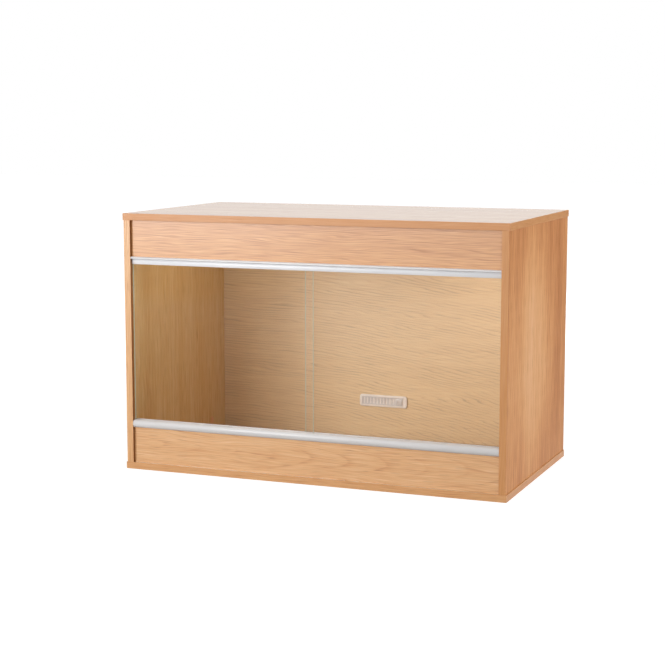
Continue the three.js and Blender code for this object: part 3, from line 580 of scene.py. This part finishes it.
# The shutters' greyer colour is painted shade.
shutter_painted_shade = vent_finish("shutter_painted_shade", "#C8C5C3", "#D4D1CE")
for prefix in ("lower_vent", "upper_vent"):
    for part, batch in (("frame", off_white), ("shutter", shutter_painted_shade), ("rear_grille", off_white)):
        softened(f"{prefix}_{part}", 0.2 * MM, batch)

# Cam locks, cam bolts and dowels
# Each end of a side panel is drawn to the top or base by two cams and kept in line by two dowels.
# The cams are die-cast zinc, the bolts turned steel with a zinc plating, the dowels fluted beech.


def metal_finish(name, colour, roughness, grit):
    material, tree = new_finish(name)
    place = grain_place(tree, 0, 1, (0, 0))
    skin = streaks(tree, place, grit, grit, 3.0)
    shade = ramp(tree, skin, ((0.3, colour[0]), (0.7, colour[1])))
    rough = add(tree, "ShaderNodeMath", {
        0: skin, 1: 0.2, 2: roughness - 0.1,
    }, operation="MULTIPLY_ADD").outputs[0]
    bump = add(tree, "ShaderNodeBump", {"Strength": 0.3, "Distance": 0.02 * MM, "Height": skin})
    surface = add(tree, "ShaderNodeBsdfPrincipled", {
        "Base Color": shade, "Metallic": 1.0, "Roughness": rough, "Normal": bump.outputs[0],
    })
    add(tree, "ShaderNodeOutputMaterial", {0: surface.outputs[0]})
    return material


def beech_finish():
    material, tree = new_finish("turned_beech")
    place = grain_place(tree, 2, 0, (0, 0))
    fibres = streaks(tree, place, 14, 0.8, 3.0)
    colour = ramp(tree, fibres, ((0.3, "#C79F6C"), (0.7, "#E3C594")))
    bump = add(tree, "ShaderNodeBump", {"Strength": 0.4, "Distance": 0.04 * MM, "Height": fibres})
    surface = add(tree, "ShaderNodeBsdfPrincipled", {
        "Base Color": colour, "Roughness": 0.7, "Normal": bump.outputs[0], "IOR": 1.5,
    })
    add(tree, "ShaderNodeOutputMaterial", {0: surface.outputs[0]})
    return material


def turned(name, profile, sides, cut):
    """A turned part from (radius, height) pairs, less the depth that cut gives at an angle and height."""
    work = bmesh.new()
    rings = []
    for radius, height in profile:
        if radius == 0:
            rings.append([work.verts.new((0, 0, height))])
            continue
        ring = []
        for i in range(sides):
            angle = math.tau * i / sides
            r = radius - cut(angle, height)
            ring.append(work.verts.new((r * math.cos(angle), r * math.sin(angle), height)))
        rings.append(ring)
    for lower, upper in zip(rings, rings[1:]):
        for i in range(sides):
            j = (i + 1) % sides
            under = (lower[i % len(lower)], lower[j % len(lower)])
            over = (upper[j % len(upper)], upper[i % len(upper)])
            work.faces.new(list(dict.fromkeys(under + over)))
    bmesh.ops.recalc_face_normals(work, faces=work.faces)
    mesh = bpy.data.meshes.new(name)
    work.to_mesh(mesh)
    work.free()
    mesh.shade_smooth()
    mesh.set_sharp_from_angle(angle=math.radians(35))
    return bpy.data.objects.new(name, mesh)


def fluted_dowel():
    """A dowel with glue flutes and chamfered ends, standing along Z about its middle."""
    half, radius, chamfer = 15 * MM, 4 * MM, 0.8 * MM
    flutes, flute_depth = 12, 0.25 * MM
    profile = [
        (0, -half), (radius - chamfer, -half), (radius, -half + chamfer),
        (radius, half - chamfer), (radius - chamfer, half), (0, half),
    ]

    def flute(angle, _):
        return flute_depth * (1 + math.cos(flutes * angle)) / 2

    return turned("dowel_pattern", profile, 6 * flutes, flute)


def threaded_bolt():
    """A cam bolt: coarse chipboard thread, guide collar, neck and head, from its tip up along Z."""
    pitch, root_depth, steps = 2.2 * MM, 0.55 * MM, 48
    tip, start = -11 * MM, -9.5 * MM
    collar_foot, collar_top = 0.3 * MM, 14 * MM
    head_foot, head_top = 20.5 * MM, 24.5 * MM
    tip_radius, thread_radius, collar_radius = 1.6 * MM, 2.6 * MM, 3.6 * MM
    neck_radius, head_radius, face_radius = 2.2 * MM, 3.3 * MM, 3.0 * MM
    profile = [(0, tip), (tip_radius, tip)]
    profile += [(thread_radius, start + (collar_foot - start) * i / steps) for i in range(steps + 1)]
    profile += [
        (collar_radius, collar_foot), (collar_radius, collar_top),
        (neck_radius, collar_top), (neck_radius, head_foot),
        (face_radius, head_foot), (head_radius, head_foot + 0.5 * MM),
        (head_radius, head_top - 0.3 * MM), (face_radius, head_top), (0, head_top),
    ]

    def thread(angle, height):
        if not start <= height < 0:
            return 0.0
        phase = (height / pitch + angle / math.tau) % 1
        return root_depth * min(1, 3 * abs(phase - 0.5))

    return turned("bolt_pattern", profile, 24, thread)


def layout_tree():
    """Sets one pattern piece on every point, its Z along the point's own direction."""
    tree = bpy.data.node_groups.new("set_out_on_joints", "GeometryNodeTree")
    tree.interface.new_socket("Geometry", in_out="INPUT", socket_type="NodeSocketGeometry")
    tree.interface.new_socket("Pattern", in_out="INPUT", socket_type="NodeSocketObject")
    tree.interface.new_socket("Finish", in_out="INPUT", socket_type="NodeSocketMaterial")
    tree.interface.new_socket("Geometry", in_out="OUTPUT", socket_type="NodeSocketGeometry")
    given = add(tree, "NodeGroupInput")
    pattern = add(tree, "GeometryNodeObjectInfo", {"Object": given.outputs["Pattern"]})
    direction = add(tree, "GeometryNodeInputNamedAttribute", {
        "Name": "direction",
    }, data_type="FLOAT_VECTOR")
    turn = add(tree, "FunctionNodeAlignRotationToVector", {"Vector": direction.outputs[0]}, axis="Z")
    placed = add(tree, "GeometryNodeInstanceOnPoints", {
        "Points": given.outputs["Geometry"], "Instance": pattern.outputs["Geometry"],
        "Rotation": turn.outputs[0],
    })
    real = add(tree, "GeometryNodeRealizeInstances", {"Geometry": placed.outputs[0]})
    finished = add(tree, "GeometryNodeSetMaterial", {
        "Geometry": real.outputs[0], "Material": given.outputs["Finish"],
    })
    add(tree, "NodeGroupOutput", {0: finished.outputs[0]})
    return tree


on_joints = layout_tree()


def set_out(name, pattern, places, finish):
    """One mesh holding a copy of the pattern at each (point, direction)."""
    points = bpy.data.meshes.new(f"{name}_points")
    points.from_pydata([point for point, _ in places], [], [])
    directions = points.attributes.new("direction", "FLOAT_VECTOR", "POINT")
    for i, (_, direction) in enumerate(places):
        directions.data[i].vector = direction
    piece = bpy.data.objects.new(name, points)
    bpy.context.scene.collection.objects.link(piece)
    modifier = piece.modifiers.new("layout", "NODES")
    modifier.node_group = on_joints
    for item in on_joints.interface.items_tree:
        if item.name == "Pattern":
            modifier[item.identifier] = pattern
        if item.name == "Finish":
            modifier[item.identifier] = finish
    evaluated = piece.evaluated_get(bpy.context.evaluated_depsgraph_get())
    piece.data = bpy.data.meshes.new_from_object(evaluated)
    piece.modifiers.clear()
    bpy.data.objects.remove(pattern)
    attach(piece, "cabinet")
    return piece


def middle_of(node_name):
    low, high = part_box(node_name)
    return (low + high) / 2


side_joints = [
    f"{side}_{end}_{row}"
    for side in ("left", "right")
    for end in ("top", "base")
    for row in ("front", "rear")
]
fascia_joints = [
    f"{fascia}_fascia_{side}_{row}"
    for fascia in ("upper", "lower")
    for side in ("left", "right")
    for row in ("outer", "inner")
]
base_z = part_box("left_side_panel")[0].z
top_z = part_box("left_side_panel")[1].z

bolts = []
for joint in side_joints:
    down = "_top_" in joint
    middle = middle_of(f"{joint}_cam_bolt")
    point = Vector((middle.x, middle.y, top_z if down else base_z))
    bolts.append((point, (0, 0, -1 if down else 1)))
plated_steel = metal_finish("zinc_plated_steel", ("#B9B7AC", "#D3D0C4"), 0.32, 0.8)
bolt_set = set_out("cam_bolt_set", threaded_bolt(), bolts, plated_steel)
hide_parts(*[f"{joint}_cam_bolt" for joint in side_joints])

dowels = [(middle_of(f"{joint}_dowel"), (0, 0, 1)) for joint in side_joints]
dowels += [(middle_of(f"{joint}_dowel"), (1, 0, 0)) for joint in fascia_joints]
dowel_set = set_out("dowel_set", fluted_dowel(), dowels, beech_finish())
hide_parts(*[f"{joint}_dowel" for joint in side_joints + fascia_joints])

cast_zinc = metal_finish("die_cast_zinc", ("#9FA1A4", "#BDBFC2"), 0.45, 0.5)
for joint in side_joints:
    dress(f"{joint}_cam_lock", cast_zinc)

# Cover caps
# Thin plastic discs in oak colour, pressed over the cams so that no metal shows inside the cabinet.


def cover_cap():
    """A shallow domed disc, lying in the XY plane with its rim rounded."""
    radius, thickness = 9 * MM, 0.9 * MM
    dome = ((1, 0), (1, 0.35), (0.97, 0.7), (0.9, 0.9), (0.5, 1), (0, 1))
    profile = [(0, 0)] + [(radius * out, thickness * up) for out, up in dome]
    return turned("cap_pattern", profile, 40, lambda angle, height: 0.0)


def cap_finish():
    material, tree = new_finish("oak_coloured_cap_plastic")
    shift = (11000, 0)
    place = grain_place(tree, 2, 0, shift)
    oak, _, oak_height = oak_print(tree, place, shift, arch=400, slope=0.02, pitch=6, rings=0.5)
    plain = add(tree, "ShaderNodeMix", {
        0: 0.5, 6: oak, 7: srgb("#D2A06E"),
    }, data_type="RGBA").outputs[2]
    bump = add(tree, "ShaderNodeBump", {"Strength": 0.3, "Distance": 0.02 * MM, "Height": oak_height})
    surface = add(tree, "ShaderNodeBsdfPrincipled", {
        "Base Color": plain, "Roughness": 0.42, "Normal": bump.outputs[0], "IOR": 1.5,
    })
    add(tree, "ShaderNodeOutputMaterial", {0: surface.outputs[0]})
    return material


caps = []
for joint in side_joints:
    middle = middle_of(f"{joint}_cam_lock")
    inward = 1 if joint.startswith("left") else -1
    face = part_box("left_side_panel")[1].x if inward > 0 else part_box("right_side_panel")[0].x
    caps.append((Vector((face, middle.y, middle.z)), (inward, 0, 0)))
cap_set = set_out("cam_cover_caps", cover_cap(), caps, cap_finish())

# Studio
# A pale floor that keeps the soft shadow and a white surround. Two large lamps stand at the front left,
# a weak one before the doors, one at the right and one overhead. One behind lights the back and is not
# mirrored. Two soft bulbs under the top light the inside, and a long lens looks slightly down.


def dimmed_at_right(tree, distance, near, far, dim):
    """1 as seen by the eye or through glass. Reflections see it fall off towards the right-hand side,
    and light rays see the given dim level."""
    fading = add(tree, "ShaderNodeMapRange", {
        0: distance, 1: near, 2: far, 3: 1.0, 4: 0.25,
    }).outputs[0]
    path = add(tree, "ShaderNodeLightPath")
    straight = add(tree, "ShaderNodeMath", {
        0: path.outputs["Is Camera Ray"], 1: path.outputs["Is Transmission Ray"],
    }, operation="MAXIMUM").outputs[0]
    unseen = add(tree, "ShaderNodeMix", {
        0: path.outputs["Is Glossy Ray"], 2: dim, 3: fading,
    }).outputs[0]
    return add(tree, "ShaderNodeMix", {0: straight, 2: unseen, 3: 1.0}).outputs[0]


def surround(ambient):
    """A white surround, which lights the cabinet at the ambient level."""
    world = bpy.data.worlds.new("white_surround")
    bpy.context.scene.world = world
    world.use_nodes = True
    tree = world.node_tree
    tree.nodes.clear()
    direction = add(tree, "ShaderNodeTexCoord").outputs["Generated"]
    to_right = add(tree, "ShaderNodeSeparateXYZ", {0: direction}).outputs[0]
    strength = dimmed_at_right(tree, to_right, 0.05, 0.3, ambient)
    sky = add(tree, "ShaderNodeBackground", {0: (1, 1, 1, 1), 1: strength})
    add(tree, "ShaderNodeOutputWorld", {0: sky.outputs[0]})


def floor_finish():
    """Grey under the lamps, and raised to white by a glow that is weaker around the cabinet, so that
    the soft shadow shows there."""
    material, tree = new_finish("pale_studio_floor")
    lit = add(tree, "ShaderNodeBsdfDiffuse", {0: srgb("#B4B4B4")})
    place = add(tree, "ShaderNodeTexCoord").outputs["Object"]
    to_right = add(tree, "ShaderNodeSeparateXYZ", {0: place}).outputs[0]
    seen = dimmed_at_right(tree, to_right, 0.45, 0.9, 0.0)
    distance = add(tree, "ShaderNodeVectorMath", {0: place}, operation="LENGTH").outputs["Value"]
    level = add(tree, "ShaderNodeMapRange", {
        0: distance, 1: 0.9, 2: 2.2, 3: 0.78, 4: 1.0,
    }).outputs[0]
    lift = add(tree, "ShaderNodeMath", {0: seen, 1: level}, operation="MULTIPLY").outputs[0]
    glow = add(tree, "ShaderNodeEmission", {0: (1, 1, 1, 1), 1: lift})
    both = add(tree, "ShaderNodeAddShader", {0: lit.outputs[0], 1: glow.outputs[0]})
    add(tree, "ShaderNodeOutputMaterial", {0: both.outputs[0]})
    return material


def floor():
    reach, gap = 14.0, 0.2 * MM
    mesh = bpy.data.meshes.new("floor")
    corners = [(-reach, -reach, 0), (reach, -reach, 0), (reach, reach, 0), (-reach, reach, 0)]
    mesh.from_pydata(corners, [], [(0, 1, 2, 3)])
    mesh.materials.append(floor_finish())
    sheet = bpy.data.objects.new("floor", mesh)
    bpy.context.scene.collection.objects.link(sheet)
    sheet.location.z = cad_bounds[0].z - gap


def softbox(name, width, height, place, power, target=(0, 0, 0.3), mirrored=True):
    """A rectangular lamp in watts, aimed at the middle of the cabinet unless told otherwise."""
    lamp = bpy.data.lights.new(name, "AREA")
    lamp.shape = "RECTANGLE"
    lamp.size = width
    lamp.size_y = height
    lamp.energy = power
    holder = bpy.data.objects.new(name, lamp)
    bpy.context.scene.collection.objects.link(holder)
    holder.location = place
    holder.rotation_euler = (Vector(target) - Vector(place)).to_track_quat("-Z", "Y").to_euler()
    holder.visible_camera = False
    holder.visible_glossy = mirrored


def bulb(name, radius, place, power):
    """A small round lamp in watts."""
    lamp = bpy.data.lights.new(name, "POINT")
    lamp.shadow_soft_size = radius
    lamp.energy = power
    holder = bpy.data.objects.new(name, lamp)
    bpy.context.scene.collection.objects.link(holder)
    holder.location = place
    holder.visible_camera = False


def camera():
    """A long lens, placed so that the corners of the box fall where the photograph has them."""
    lens = bpy.data.cameras.new("camera")
    lens.sensor_width = 36
    lens.lens = 86.99
    holder = bpy.data.objects.new("camera", lens)
    bpy.context.scene.collection.objects.link(holder)
    holder.location = (1.27682, -3.28333, 0.77394)
    down, left = math.radians(7.785), math.radians(21.857)
    holder.rotation_euler = (math.radians(90) - down, 0, left)
    bpy.context.scene.camera = holder


surround(0.2)
floor()
softbox("key", 1.6, 1.6, (-1.4, -2.9, 1.3), 46)
softbox("low_left", 1.4, 1.2, (-2.0, -3.2, 0.75), 22)
softbox("fill", 1.2, 0.9, (-0.5, -3.5, 0.65), 7)
softbox("side", 1.4, 1.4, (3.1, 0.3, 1.1), 54, target=(0.4, 0, 0.3))
softbox("overhead", 1.6, 1.6, (0.9, -1.4, 2.4), 14)
softbox("rear", 1.6, 1.6, (-0.8, 3.2, 1.2), 50, mirrored=False)
bulb("inner_left", 0.04, (-0.15, -0.12, 0.46), 0.75)
bulb("inner_right", 0.06, (0.3, 0.0, 0.47), 0.85)
camera()
bpy.context.scene.view_settings.view_transform = "Standard"
